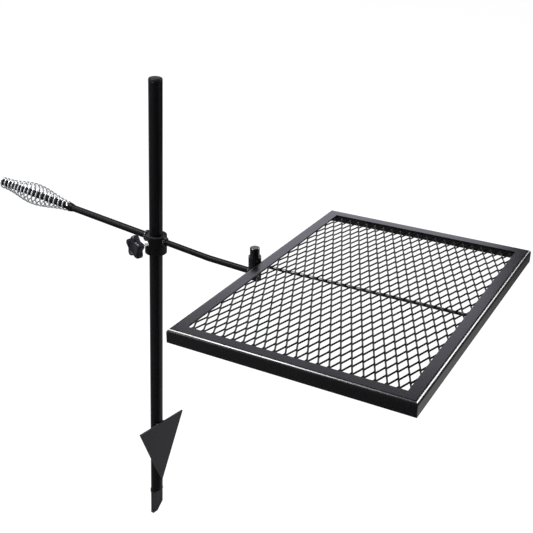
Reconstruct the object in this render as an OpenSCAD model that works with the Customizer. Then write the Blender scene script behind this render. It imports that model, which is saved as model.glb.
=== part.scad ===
// Swing arm campfire grill.
// A ground stake carries a clamping collar, and the collar carries an arm that swings over the fire.
// The grate swivels on a pin at the arm's end, and a coiled spring at the other end is the cool handle.
// Millimetres, Z up. The origin is on the stake's axis at the ground line.
// X runs along the arm to the grate.

/* [Stake] */
// Outside diameter of the stake tube
stake_d = 22; // [18:0.5:28]
// Wall of the stake tube
stake_wall = 1.5; // [1:0.1:3]
// Length of the stake from its tip to the tube's top
stake_l = 833; // [690:1:1100]
// Length of the stake driven into the ground
stake_below = 211; // [190:1:300]
// Width of the flattened blade at the foot
blade_w = 28; // [24:0.5:34]
// Thickness of the flattened blade
blade_t = 4; // [3:0.5:8]
// Length of the blade from its crease to its tip
blade_l = 48; // [30:1:70]
// Length of the longer slant at the blade's end
point_l = 16; // [6:1:25]
// Width of the blunt tip
tip_w = 11; // [2:0.5:14]
// Distance of the tip's middle from the blade's middle
tip_shift = 5.5; // [0:0.5:6]
// Length over which the tube turns from round to flat
flatten_l = 8; // [6:1:30]
// Turn of the blade and the fin about the stake, from square to the arm
foot_turn = 10; // [-30:1:30]

/* [Anchor fin] */
// Width of the fin along its top edge
fin_w = 106; // [70:1:140]
// Height of the fin from its top edge to its point
fin_h = 132; // [90:1:140]
// Thickness of the fin plate
fin_t = 3; // [2:0.5:5]
// Length of each weld stitch between fin and stake
fin_stitch = 28; // [10:1:32]

/* [End cap] */
// Height of the cap's head above the tube
cap_h = 5; // [4:0.5:10]
// Rounding of the cap's top edge
cap_round = 3; // [1:0.5:3.5]
// Length of the cap's plug inside the tube
cap_plug_l = 16; // [8:1:30]
// Wall of the cap's plug
cap_plug_wall = 2; // [1:0.5:4]

/* [Collar] */
// Height of the collar's lower face above the ground line
collar_z = 337; // [200:1:420]
// Height of the collar sleeve
collar_h = 31; // [28:0.5:45]
// Outside diameter of the collar sleeve
sleeve_d = 36; // [35:0.5:44]
// Wall of the bush between stake and sleeve
bush_wall = 3.4; // [2:0.1:4]
// Thickness of the flange under the bush
flange_t = 2.5; // [1.5:0.5:5]
// Width by which the flange stands out under the sleeve
flange_w = 1.8; // [1:0.1:2.2]
// Depth of the chamfer inside the sleeve's top
sleeve_chamfer = 0.8; // [0.2:0.1:1.2]

/* [Arm] */
// Diameter of the grate bar
bar_d = 10; // [8:0.5:11]
// Height of the bars' line above the collar's lower face, at the stake's axis
bar_h = 23.5; // [18:0.5:26]
// Slope of the bars at the collar
bar_slope = 3.6; // [3:0.1:6]
// Slope of the grate bar beyond its bend
bar_end_slope = 0.2; // [0:0.1:2]
// Distance of the bend from the stake's axis
bend_x = 102; // [70:1:130]
// Radius of the bend
bend_r = 140; // [60:5:200]
// Distance of the grate's pivot from the stake's axis
pivot_x = 187; // [165:1:240]
// Width of the weld bead round a bar
bead_w = 3; // [1.5:0.5:4]

/* [Handle] */
// Diameter of the handle bar
handle_d = 11.5; // [10:0.5:12.5]
// Distance of the handle's stop from the stake's axis, along the bar
handle_run_l = 180; // [120:1:240]
// Length of the stop
stop_l = 7; // [4:1:15]
// Diameter of the stop at the spring
stop_d = 16; // [14.5:0.5:18]
// Wall of the stop at its thin end
stop_lip = 0.8; // [0.4:0.1:1.5]
// Length of the spring handle
spring_l = 152; // [110:1:180]
// Number of curls in the spring
spring_curls = 17; // [12:1:20]
// Wire of the spring
wire_d = 2.5; // [1.8:0.1:2.8]
// Outside diameter of the spring at the stop
spring_in_d = 18; // [17.5:0.5:20]
// Outside diameter of the spring at its fattest
spring_mid_d = 38; // [28:0.5:42]
// Outside diameter of the spring at its free end
spring_out_d = 20.5; // [20:0.5:24]
// Distance of the fattest curl from the stop
spring_mid_l = 78; // [50:1:100]

/* [Clamp] */
// Diameter of the clamp bolt
bolt_d = 8; // [6:0.5:10]
// Height of the bolt above the collar's lower face
bolt_h = 20; // [14:0.5:22]
// Direction of the bolt about the stake, from the arm
bolt_turn = -108.6; // [-150:0.1:-60]
// Length of the bolt's turned-down point
bolt_point_l = 2; // [1:0.5:3]
// Diameter of the bolt's point
bolt_point_d = 5.5; // [3:0.5:5.5]
// Length of bolt that shows between sleeve and knob
bolt_show = 15; // [8:0.5:30]
// Diameter of the star knob over its lobes
knob_d = 40; // [34:1:50]
// Thickness of the star knob's head
knob_t = 11.5; // [10.5:0.5:18]
// Number of lobes on the knob
knob_lobes = 5; // [5:1:8]
// Turn of the lobes when the knob is home
lobe_turn = 39; // [0:1:60]
// Radius of the hollow between two lobes
scallop_r = 11; // [6:0.5:12]
// Depth of the hollow between two lobes
scallop_depth = 5.5; // [2:0.5:6]
// Length of the knob's neck towards the sleeve
neck_l = 2; // [2:0.5:8]
// Wall of the neck round its metal insert
neck_wall = 2.5; // [1.5:0.5:4]
// Widening of the neck where it meets the head
neck_flare = 2; // [1:0.5:4]
// Bevel on the back of the knob's lobes
knob_back_bevel = 2; // [1:0.5:3]
// Bevel on the front of the knob's lobes
knob_front_bevel = 3; // [1:0.5:4]
// Width of the rim round the dish in the knob's face
dish_rim = 3; // [2:0.5:5]
// Depth of the dish in the knob's face
dish_depth = 1.2; // [0.5:0.1:1.5]
// Wall of the metal insert round the bolt
insert_wall = 2; // [1:0.5:3]
// Depth of the insert in the knob's head
insert_depth = 8; // [5:0.5:8.5]

/* [Pivot] */
// Diameter of the pivot pin
pin_d = 15.2; // [12:0.1:18]
// Height by which the pin stands above the socket
pin_above = 14.5; // [5:0.5:30]
// Wall of the grate's socket
socket_wall = 2.3; // [1.5:0.1:4]
// Height of the socket
socket_h = 18; // [16:0.5:30]
// Height by which the socket stands above the grate's top
socket_above = 5.5; // [0:0.5:6]
// Room between the grate bar and the pin's shoulder
shoulder_rise = 4.6; // [2:0.1:6]
// Lean of the pin back towards the stake, by which the empty grate rises
pin_lean = 3; // [0:0.1:4]
// Chamfer on the pin's top edge
pin_chamfer = 0.8; // [0.3:0.1:2]

/* [Grate] */
// Length of the grate along its pivot side
grate_l = 500; // [350:1:600]
// Width of the grate away from the pivot
grate_w = 350; // [260:1:450]
// Width of a rail's top flange
rail_w = 20; // [15:0.5:30]
// Height of a rail's outer flange
rail_h = 20; // [18:0.5:30]
// Wall of the rails
rail_t = 2; // [1.5:0.1:3]
// Rounding of a rail's outer top edge
rail_r = 5; // [3:0.1:6]
// Diameter of the support rod under the mesh
rod_d = 5; // [4:0.5:8]

/* [Mesh] */
// Thickness of the expanded sheet
mesh_t = 3; // [1.5:0.1:4]
// Pitch of the diamonds across the grate
mesh_short = 15.3; // [12:0.1:24]
// Pitch of the diamonds along the grate
mesh_long = 33; // [26:0.5:50]
// Width of a strand
strand_w = 2.4; // [1.6:0.1:3.2]
// Width of the plain edge round the sheet
mesh_edge = 2.5; // [1.5:0.1:6]

/* [Fits] */
// Radial clearance of the running fits
run_gap = 0.08; // [0.04:0.01:0.1]
// Gap between round faces that are welded together
weld_gap = 0.05; // [0.02:0.01:0.1]
// Gap between a piece and what it rests against
seat_gap = 0.3; // [0.2:0.05:0.5]

/* [Hidden] */
$fn = 96;

black_coat = "#1b1b1e";
weld_black = "#242427";
chrome = "#c9ccd2";
zinc = "#d5d8dc";
knob_black = "#1f1e28";

// Cutting tools reach this far past what they cut
past = 1;

// A bead's length along the bar and its width at the toe, as shares of its width at the root
bead_lean = 1.2;
bead_toe = 0.2;
// A bead in a cusp starts, ends and stands off the face by these shares of the tube's radius
cusp_start = 0.35;
cusp_end = 0.78;
cusp_off = 0.3;
cusp_crown = 0.66;

// Stake and cap
stake_r = stake_d / 2;
stake_above = stake_l - stake_below;
tube_in_r = stake_r - stake_wall;
round_z = -stake_below + blade_l + flatten_l;
crease_z = -stake_below + blade_l;
cap_plug_r = tube_in_r - weld_gap;
// The flattened foot starts inside the tube's outline by this much
foot_inset = 0.3;
// The blade's end is cut at one slant on both sides, so the tip's shift shortens one of the cuts
long_cut = blade_w / 2 - tip_w / 2 + tip_shift;
short_cut = blade_w / 2 - tip_w / 2 - tip_shift;
short_point_l = point_l * short_cut / long_cut;

// Fin
fin_x = stake_r + weld_gap;

// Bush and sleeve
bush_in_r = stake_r + run_gap;
bush_r = bush_in_r + bush_wall;
sleeve_in_r = bush_r + run_gap;
sleeve_r = sleeve_d / 2;
flange_r = bush_r + flange_w;
flange_seat_r = flange_r + seat_gap;

// Arm
bar_r = bar_d / 2;
handle_r = handle_d / 2;
bar_z = collar_z + bar_h;
bend_z = bar_z - bend_x * tan(bar_slope);
bend_turn = bar_slope - bar_end_slope;
bend_leg = bend_r * tan(bend_turn / 2);
bar_end_z = bend_z - (pivot_x - bend_x) * tan(bar_end_slope);
bend_swell = 0.1;
bead_l = bead_w * bead_lean;

// Pivot
pin_r = pin_d / 2;
socket_in_r = pin_r + run_gap;
socket_r = socket_in_r + socket_wall;
shoulder_at = bar_r + shoulder_rise;
pin_bead_w = min(bead_w, shoulder_rise - seat_gap - socket_r * tan(pin_lean + bar_end_slope));
pin_l = socket_h + pin_above;

// Clamp, measured outwards from the stake's axis
bolt_r = bolt_d / 2;
bolt_z = collar_z + bolt_h;
bolt_tip_at = bush_r + seat_gap;
neck_at = sleeve_r + bolt_show;
head_at = neck_at + neck_l;
knob_face_at = head_at + knob_t;
insert_in_r = bolt_r + run_gap;
insert_r = insert_in_r + insert_wall;
insert_end_at = head_at + insert_depth;
neck_r = insert_r + neck_wall;

// Grate, placed from the pivot's axis
grate_rise = shoulder_at + socket_h - socket_above;
rail_x = socket_r + weld_gap;
mesh_in = rail_r + weld_gap;
sheet_w = grate_w - 2 * mesh_in;
sheet_l = grate_l - 2 * mesh_in;
rod_z = -rail_t - mesh_t - rod_d / 2 - weld_gap;
rod_l = grate_w - 2 * rail_t;

// Spring, a tube swept along a helix whose radius swells and shrinks
ring_sides = 6;
curl_rings = 8;
wire_r = wire_d / 2;
end_run = wire_d;
spring_rings = spring_curls * curl_rings;
coil_start = end_run + wire_r;
coil_l = spring_l - coil_start - wire_r;
free_l = spring_l - spring_mid_l;
free_power = 1.4;

// Mean radius of the coil at a distance from the stop: a half cosine swell up to the fattest curl,
// and a narrower one down to the free end
function swell(t) = (1 - cos(180 * t)) / 2;
function coil_r(at) =
    (at < spring_mid_l
        ? spring_in_d + (spring_mid_d - spring_in_d) * swell(at / spring_mid_l)
        : spring_out_d + (spring_mid_d - spring_out_d) * pow(swell((spring_l - at) / free_l), free_power))
    / 2 - wire_r;
function coil_point(i) =
    let (at = coil_start + coil_l * i / spring_rings, turn = 360 * i / curl_rings)
    [coil_r(at) * cos(turn), coil_r(at) * sin(turn), at];

// The inner end runs square to the stop's face, and the outer end runs square to the bar
first_r = coil_r(coil_start);
last_at = coil_start + coil_l;
last_turn = 360 * spring_rings / curl_rings;
hook_turn = last_turn + 540 / curl_rings;
function hook_point(r) = [r * cos(hook_turn), r * sin(hook_turn), last_at];
spring_path = concat(
    [
        [first_r * cos(-45), first_r * sin(-45), seat_gap],
        [first_r * cos(-45), first_r * sin(-45), seat_gap + end_run]
    ],
    [for (i = [0 : spring_rings]) coil_point(i)],
    [hook_point(handle_r + seat_gap + end_run), hook_point(handle_r + seat_gap)]
);

// Least gap between two stretches of the wire that are at least half a curl apart
path_n = len(spring_path);
spring_gaps = [
    for (i = [0 : path_n - 1])
    for (j = [i + curl_rings / 2 : 1 : path_n - 1])
    norm(spring_path[i] - spring_path[j]) - wire_d
];
echo("least gap between the spring's curls, mm", min(spring_gaps));

function unit(v) = v / norm(v);
function path_tangent(p, i) =
    unit(p[min(i + 1, len(p) - 1)] - p[max(i - 1, 0)]);
// A frame carried along the path without twist: each normal is the last one made square to the new tangent
function square_to(n, t) = unit(n - (n * t) * t);
function carried(p, i, n) =
    i == len(p) ? [] : let (m = square_to(n, path_tangent(p, i))) concat([m], carried(p, i + 1, m));

// One closed tube of triangles along a path
module swept_tube(p, r, sides, start_normal) {
    normals = carried(p, 0, start_normal);
    points = [
        for (i = [0 : len(p) - 1])
        let (t = path_tangent(p, i), n = normals[i], b = cross(t, n))
        for (k = [0 : sides - 1])
        p[i] + r * (cos(360 * k / sides) * n + sin(360 * k / sides) * b)
    ];
    last = (len(p) - 1) * sides;
    faces = concat(
        [for (k = [1 : sides - 2]) [0, k, k + 1]],
        [for (k = [1 : sides - 2]) [last, last + k + 1, last + k]],
        [
            for (i = [0 : len(p) - 2])
            for (k = [0 : sides - 1])
            let (a = i * sides + k, b = i * sides + (k + 1) % sides)
            each [[a, a + sides, b + sides], [a, b + sides, b]]
        ]
    );
    polyhedron(points, faces);
}

// Places children along the handle bar, with Z running outwards from the stake's axis
module along_handle() {
    translate([0, 0, bar_z])
        rotate([0, -90 + bar_slope, 0])
            children();
}

// Places children along the first stretch of the grate bar
module along_grate_bar() {
    translate([0, 0, bar_z])
        rotate([0, 90 + bar_slope, 0])
            children();
}

// Places children along the clamp bolt, with Z running outwards from the stake's axis
module along_bolt() {
    translate([0, 0, bolt_z])
        rotate([0, 0, bolt_turn])
            rotate([0, 90, 0])
                children();
}

// Places children on the pivot's leaning axis, at a distance above the end of the grate bar's line
module at_pivot(rise) {
    translate([pivot_x, 0, bar_end_z])
        rotate([0, -pin_lean, 0])
            translate([0, 0, rise])
                children();
}

// Places children at the pivot's axis, at the height of the grate's top
module at_grate() {
    at_pivot(grate_rise)
        children();
}

// A ring of bead round a bar: it tapers away from the face that the bar meets, and fills in behind by sink
module bead(inner_r, width, length, sink) {
    difference() {
        union() {
            cylinder(r1 = inner_r + width, r2 = inner_r + weld_gap + width * bead_toe, h = length);
            translate([0, 0, -sink])
                cylinder(r = inner_r + width, h = sink);
        }
        translate([0, 0, -sink - past])
            cylinder(r = inner_r + weld_gap, h = sink + length + 2 * past);
    }
}

// Half of a fillet bead in the cusp between a round tube and a flat face at x = face
module cusp_profile(tube_r, face) {
    difference() {
        polygon([
            [face, tube_r * cusp_start],
            [face, tube_r * cusp_end],
            [face - tube_r * cusp_off, tube_r * cusp_crown]
        ]);
        circle(r = tube_r + weld_gap);
    }
}

module stake_tube() {
    color(black_coat) {
        difference() {
            translate([0, 0, round_z])
                cylinder(r = stake_r, h = stake_above - round_z);
            translate([0, 0, round_z + flatten_l])
                cylinder(r = tube_in_r, h = stake_above - round_z);
        }
        rotate([0, 0, -foot_turn]) {
            hull() {
                translate([0, 0, round_z])
                    cylinder(r = stake_r - foot_inset, h = past, $fn = 32);
                translate([-blade_t / 2, -blade_w / 2, crease_z - past])
                    cube([blade_t, blade_w, past]);
            }
            rotate([90, 0, 90])
                linear_extrude(blade_t, center = true)
                    polygon([
                        [-blade_w / 2, crease_z],
                        [-blade_w / 2, -stake_below + short_point_l],
                        [short_cut - blade_w / 2, -stake_below],
                        [blade_w / 2 - long_cut, -stake_below],
                        [blade_w / 2, -stake_below + point_l],
                        [blade_w / 2, crease_z]
                    ]);
        }
    }
}

module stake_cap() {
    color(knob_black)
        translate([0, 0, stake_above])
            rotate_extrude() {
                difference() {
                    square([stake_r, cap_h]);
                    translate([stake_r - cap_round, cap_h - cap_round])
                        difference() {
                            square(cap_round + past);
                            circle(r = cap_round);
                        }
                }
                translate([cap_plug_r - cap_plug_wall, -cap_plug_l])
                    square([cap_plug_wall, cap_plug_l]);
            }
}

module anchor_fin() {
    color(black_coat)
        rotate([0, 0, -foot_turn])
            translate([fin_x, 0, 0])
                rotate([90, 0, 90])
                    linear_extrude(fin_t)
                        polygon([[-fin_w / 2, 0], [0, -fin_h], [fin_w / 2, 0]]);
}

module fin_welds() {
    color(weld_black)
        rotate([0, 0, -foot_turn])
            for (side = [0, 1])
                mirror([0, side, 0])
                    for (top = [0, -2 * fin_stitch])
                        translate([0, 0, top - fin_stitch])
                            linear_extrude(fin_stitch)
                                cusp_profile(stake_r, fin_x);
}

module collar_bush() {
    color(knob_black)
        translate([0, 0, collar_z])
            rotate_extrude()
                polygon([
                    [bush_in_r, 0],
                    [flange_r, 0],
                    [flange_r, flange_t],
                    [bush_r, flange_t],
                    [bush_r, collar_h - sleeve_chamfer],
                    [bush_in_r, collar_h - sleeve_chamfer]
                ]);
}

module collar_sleeve() {
    color(black_coat)
        difference() {
            translate([0, 0, collar_z])
                rotate_extrude()
                    polygon([
                        [flange_seat_r, 0],
                        [sleeve_r, 0],
                        [sleeve_r, collar_h],
                        [sleeve_in_r + sleeve_chamfer, collar_h],
                        [sleeve_in_r, collar_h - sleeve_chamfer],
                        [sleeve_in_r, flange_t],
                        [flange_seat_r, flange_t]
                    ]);
            along_bolt()
                cylinder(r = bolt_r + run_gap, h = sleeve_r + past);
        }
}

// The sleeve's outside, grown by the gap that its welds keep
module sleeve_seat() {
    translate([0, 0, collar_z - past])
        cylinder(r = sleeve_r + weld_gap, h = collar_h + past + 2 * bead_w);
}

module handle_bar() {
    color(black_coat)
        difference() {
            along_handle()
                cylinder(r = handle_r, h = handle_run_l + spring_l);
            sleeve_seat();
        }
}

module grate_bar() {
    first_leg = bend_x / cos(bar_slope) - bend_leg;
    last_leg = (pivot_x - bend_x) / cos(bar_end_slope) - bend_leg;
    arc_x = first_leg * cos(bar_slope) + bend_r * sin(bar_slope);
    arc_z = bar_z - first_leg * sin(bar_slope) + bend_r * cos(bar_slope);
    color(black_coat)
        difference() {
            union() {
                along_grate_bar()
                    cylinder(r = bar_r, h = first_leg + past);
                translate([arc_x, 0, arc_z])
                    rotate([90, 0, 0])
                        rotate([0, 0, -90 - bar_slope])
                            rotate_extrude(angle = bend_turn)
                                translate([bend_r, 0])
                                    circle(r = bar_r + bend_swell);
                translate([pivot_x, 0, bar_end_z])
                    rotate([0, -90 + bar_end_slope, 0])
                        cylinder(r = bar_r, h = last_leg + past);
            }
            sleeve_seat();
            pin_base(weld_gap);
        }
}

module collar_welds() {
    color(weld_black)
        difference() {
            union() {
                along_handle()
                    translate([0, 0, sleeve_r])
                        bead(handle_r, bead_w, bead_l, bead_w);
                along_grate_bar()
                    translate([0, 0, sleeve_r])
                        bead(bar_r, bead_w, bead_l, bead_w);
            }
            sleeve_seat();
        }
}

module handle_stop() {
    color(black_coat)
        along_handle()
            translate([0, 0, handle_run_l - stop_l])
                difference() {
                    cylinder(r1 = handle_r + weld_gap + stop_lip, r2 = stop_d / 2, h = stop_l);
                    translate([0, 0, -past])
                        cylinder(r = handle_r + weld_gap, h = stop_l + 2 * past);
                }
}

module spring_handle() {
    color(chrome)
        along_handle()
            translate([0, 0, handle_run_l])
                swept_tube(spring_path, wire_r, ring_sides, [1, 0, 0]);
}

// The pin's base, grown by a gap where a bar is cut to meet it
module pin_base(gap) {
    at_pivot(-shoulder_at)
        cylinder(r = socket_r + gap, h = 2 * shoulder_at);
}

module pivot_pin() {
    color(black_coat) {
        pin_base(0);
        at_pivot(shoulder_at)
            rotate_extrude()
                polygon([
                    [0, 0],
                    [pin_r, 0],
                    [pin_r, pin_l - pin_chamfer],
                    [pin_r - pin_chamfer, pin_l],
                    [0, pin_l]
                ]);
    }
}

module pin_weld() {
    color(weld_black)
        difference() {
            translate([pivot_x, 0, bar_end_z])
                rotate([0, -90 + bar_end_slope, 0])
                    translate([0, 0, socket_r])
                        bead(bar_r, pin_bead_w, bead_l, socket_r / 2);
            pin_base(weld_gap);
        }
}

module clamp_bolt() {
    color(zinc)
        along_bolt()
            translate([0, 0, bolt_tip_at]) {
                cylinder(d = bolt_point_d, h = bolt_point_l);
                translate([0, 0, bolt_point_l])
                    cylinder(r = bolt_r, h = insert_end_at - bolt_tip_at - bolt_point_l);
            }
}

// Outline of the knob: a disc with a round hollow between each two lobes
module star_outline() {
    difference() {
        circle(d = knob_d);
        for (i = [0 : knob_lobes - 1])
            rotate(lobe_turn + 360 * (i + 0.5) / knob_lobes)
                translate([knob_d / 2 + scallop_r - scallop_depth, 0])
                    circle(r = scallop_r);
    }
}

module star_knob() {
    dish_r = knob_d / 2 - scallop_depth - dish_rim;
    color(knob_black)
        along_bolt()
            difference() {
                union() {
                    translate([0, 0, neck_at])
                        cylinder(r1 = neck_r, r2 = neck_r + neck_flare, h = neck_l);
                    intersection() {
                        translate([0, 0, head_at])
                            linear_extrude(knob_t)
                                star_outline();
                        translate([0, 0, head_at])
                            rotate_extrude()
                                polygon([
                                    [0, 0],
                                    [knob_d / 2 - knob_back_bevel, 0],
                                    [knob_d / 2, knob_back_bevel],
                                    [knob_d / 2, knob_t - knob_front_bevel],
                                    [knob_d / 2 - knob_front_bevel, knob_t],
                                    [0, knob_t]
                                ]);
                    }
                }
                translate([0, 0, neck_at - past])
                    cylinder(r = insert_r + weld_gap, h = insert_end_at - neck_at + past);
                translate([0, 0, knob_face_at - dish_depth])
                    cylinder(r1 = dish_r - dish_depth, r2 = dish_r, h = dish_depth);
                translate([0, 0, knob_face_at])
                    cylinder(r = dish_r, h = past);
            }
}

module knob_insert() {
    color(zinc)
        along_bolt()
            translate([0, 0, neck_at])
                difference() {
                    cylinder(r = insert_r, h = insert_end_at - neck_at);
                    translate([0, 0, -past])
                        cylinder(r = insert_in_r, h = insert_end_at - neck_at + 2 * past);
                }
}

// Section of an angle rail: outer face at x = 0, top at y = 0, outer edge rounded
module rail_section() {
    translate([0, -rail_h])
        square([rail_t, rail_h - rail_r]);
    translate([rail_r, -rail_t])
        square([rail_w - rail_r, rail_t]);
    translate([rail_r, -rail_r])
        intersection() {
            difference() {
                circle(r = rail_r);
                circle(r = rail_r - rail_t);
            }
            translate([-rail_r, 0])
                square(rail_r);
        }
}

// One rail along Y, mitred at both ends
module rail(length) {
    intersection() {
        rotate([90, 0, 0])
            linear_extrude(length, center = true)
                rail_section();
        translate([0, 0, -rail_h - past])
            linear_extrude(rail_h + 2 * past)
                polygon([
                    [0, -length / 2],
                    [rail_w, rail_w - length / 2],
                    [rail_w, length / 2 - rail_w],
                    [0, length / 2]
                ]);
    }
}

module rail_arm_side() {
    color(black_coat)
        at_grate()
            translate([rail_x, 0, 0])
                rail(grate_l);
}

module rail_fire_side() {
    color(black_coat)
        at_grate()
            translate([rail_x + grate_w, 0, 0])
                rotate(180)
                    rail(grate_l);
}

module rail_left() {
    color(black_coat)
        at_grate()
            translate([rail_x + grate_w / 2, -grate_l / 2, 0])
                rotate(90)
                    rail(grate_w);
}

module rail_right() {
    color(black_coat)
        at_grate()
            translate([rail_x + grate_w / 2, grate_l / 2, 0])
                rotate(-90)
                    rail(grate_w);
}

// Fillet beads in the four inner corners, below the mesh
module corner_welds() {
    bead_h = rail_h - rail_t - mesh_t - seat_gap;
    color(weld_black)
        at_grate()
            translate([rail_x + grate_w / 2, 0, -rail_h])
                for (a = [0, 1], b = [0, 1])
                    mirror([a, 0, 0])
                        mirror([0, b, 0])
                            translate([rail_t - grate_w / 2, rail_t - grate_l / 2, 0])
                                linear_extrude(bead_h)
                                    polygon([[0, 0], [bead_w, 0], [0, bead_w]]);
}

// Expanded sheet, cut by its diamonds on a staggered lattice
module mesh() {
    side = norm([mesh_short, mesh_long]) / 2;
    open_share = 1 - strand_w * side * 2 / (mesh_short * mesh_long);
    half_short = mesh_short / 2 * open_share;
    half_long = mesh_long / 2 * open_share;
    columns = floor((sheet_w - 2 * mesh_edge) / mesh_short * 2);
    rows = floor((sheet_l - 2 * mesh_edge) / mesh_long * 2);
    centres = [
        for (i = [1 : columns - 1], j = [1 : rows - 1])
        if ((i + j) % 2 == 0)
        [(i - columns / 2) * mesh_short / 2, (j - rows / 2) * mesh_long / 2]
    ];
    color(black_coat)
        at_grate()
            translate([rail_x + grate_w / 2, 0, -rail_t - mesh_t])
                linear_extrude(mesh_t)
                    difference() {
                        square([sheet_w, sheet_l], center = true);
                        for (centre = centres)
                            translate(centre)
                                polygon([
                                    [half_short, 0],
                                    [0, half_long],
                                    [-half_short, 0],
                                    [0, -half_long]
                                ]);
                    }
}

module support_rod() {
    color(black_coat)
        at_grate()
            translate([rail_x + rail_t, 0, rod_z])
                rotate([0, 90, 0])
                    cylinder(d = rod_d, h = rod_l);
}

module rod_welds() {
    reach = rod_d / 2 + bead_w;
    color(weld_black)
        at_grate()
            translate([rail_x + grate_w / 2, 0, rod_z])
                for (end = [0, 1])
                    mirror([end, 0, 0])
                        translate([-rod_l / 2, 0, 0])
                            rotate([0, 90, 0])
                                intersection() {
                                    bead(rod_d / 2, bead_w, bead_l, past);
                                    translate([-rod_d / 2, -reach, 0])
                                        cube([rod_d / 2 + reach, 2 * reach, bead_l]);
                                }
}

module pivot_socket() {
    color(black_coat)
        at_pivot(shoulder_at)
            difference() {
                cylinder(r = socket_r, h = socket_h);
                translate([0, 0, -past])
                    cylinder(r = socket_in_r, h = socket_h + 2 * past);
            }
}

module socket_welds() {
    weld_at = max(shoulder_at, grate_rise - rail_h);
    color(weld_black)
        at_pivot(weld_at)
            for (side = [0, 1])
                mirror([0, side, 0])
                    linear_extrude(grate_rise - rail_r - weld_at)
                        cusp_profile(socket_r, rail_x);
}

stake_tube();
stake_cap();
anchor_fin();
fin_welds();
collar_bush();
collar_sleeve();
handle_bar();
grate_bar();
collar_welds();
handle_stop();
spring_handle();
pivot_pin();
pin_weld();
clamp_bolt();
star_knob();
knob_insert();
rail_arm_side();
rail_fire_side();
rail_left();
rail_right();
corner_welds();
mesh();
support_rod();
rod_welds();
pivot_socket();
socket_welds();
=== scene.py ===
"""Finish of a swing arm campfire grill.

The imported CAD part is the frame. The stake, the spring, the expanded metal, the knob, the bolt and
the weld beads of the fin, the collar and the pin are computed as surfaces that stand for their CAD
nodes. Every other node keeps its shape and takes a procedural material. Metres, Z up, as in the frame.
"""

import math

import bpy
import numpy as np
from bpy.props import FloatProperty, FloatVectorProperty, IntProperty, PointerProperty
from mathutils import Matrix, Vector


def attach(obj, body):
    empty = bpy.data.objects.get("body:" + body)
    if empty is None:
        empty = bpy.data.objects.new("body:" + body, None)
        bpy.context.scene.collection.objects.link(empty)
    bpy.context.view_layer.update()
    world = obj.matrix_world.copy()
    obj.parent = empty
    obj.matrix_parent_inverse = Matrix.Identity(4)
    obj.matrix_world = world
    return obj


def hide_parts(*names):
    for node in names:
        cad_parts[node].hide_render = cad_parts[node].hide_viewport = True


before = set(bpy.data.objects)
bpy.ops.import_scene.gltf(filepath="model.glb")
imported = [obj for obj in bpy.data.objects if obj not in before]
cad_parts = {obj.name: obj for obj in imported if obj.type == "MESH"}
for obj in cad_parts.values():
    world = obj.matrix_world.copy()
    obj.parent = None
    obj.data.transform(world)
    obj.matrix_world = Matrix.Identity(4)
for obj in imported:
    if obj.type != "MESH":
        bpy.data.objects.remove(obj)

bl_info = {
    "name": "Campfire grill finish",
    "version": (1, 0, 0),
    "blender": (4, 5, 0),
    "location": "View3D > Sidebar > Grill",
    "description": "Builds the finished surfaces, materials and studio of a swing arm campfire grill",
    "category": "Object",
}

SMOOTH_BELOW = math.radians(32)
STITCH_RIPPLE_SEED = 11
STITCH_WANDER_SEED = 31
BEAD_WANDER_SEED = 51
BEAD_RIPPLE_SEED = 71
WHITE = (1, 1, 1)


def length(name, description, default):
    """A length property in metres."""
    return FloatProperty(
        name=name, description=description, default=default, precision=5, unit="LENGTH"
    )


def angle(name, description, degrees):
    """An angle property, given here in degrees."""
    return FloatProperty(
        name=name, description=description, default=math.radians(degrees), subtype="ANGLE"
    )


def share(name, description, default):
    """A factor between 0 and 1."""
    return FloatProperty(
        name=name, description=description, default=default, min=0, max=1, precision=4, subtype="FACTOR"
    )


def colour(name, description, default):
    """A linear colour."""
    return FloatVectorProperty(
        name=name, description=description, default=default, size=3, min=0, max=1, subtype="COLOR"
    )


class GrillStake(bpy.types.PropertyGroup):
    """Sizes of the stake and its foot."""

    radius: length("Radius", "Outside radius of the stake tube", 0.011)
    top: length("Top", "Height of the tube's top", 0.622)
    tip: length("Tip", "Height of the blade's tip", -0.211)
    blade_length: length("Blade length", "Length from the crease to the tip", 0.048)
    blade_width: length("Blade width", "Width of the flattened blade", 0.028)
    blade_gauge: length("Blade thickness", "Thickness of the flattened blade", 0.004)
    flatten: length("Flattening", "Length over which the tube turns flat", 0.008)
    point: length("Point", "Length of the longer slant at the blade's end", 0.016)
    tip_width: length("Tip width", "Width of the blunt tip", 0.011)
    tip_shift: length("Tip shift", "Distance of the tip's middle from the blade's middle", 0.0055)
    turn: angle("Turn", "Turn of the blade and fin about the stake", -10)
    fin_face: length("Fin face", "Distance of the fin's back from the stake's axis", 0.01105)
    stitch: length("Stitch", "Length of one weld stitch at the fin", 0.028)
    stitch_radius: length("Stitch radius", "Radius of a weld stitch at the fin", 0.0023)
    cusp: length("Cusp", "Distance of the stitches from the fin's middle", 0.0077)


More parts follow.
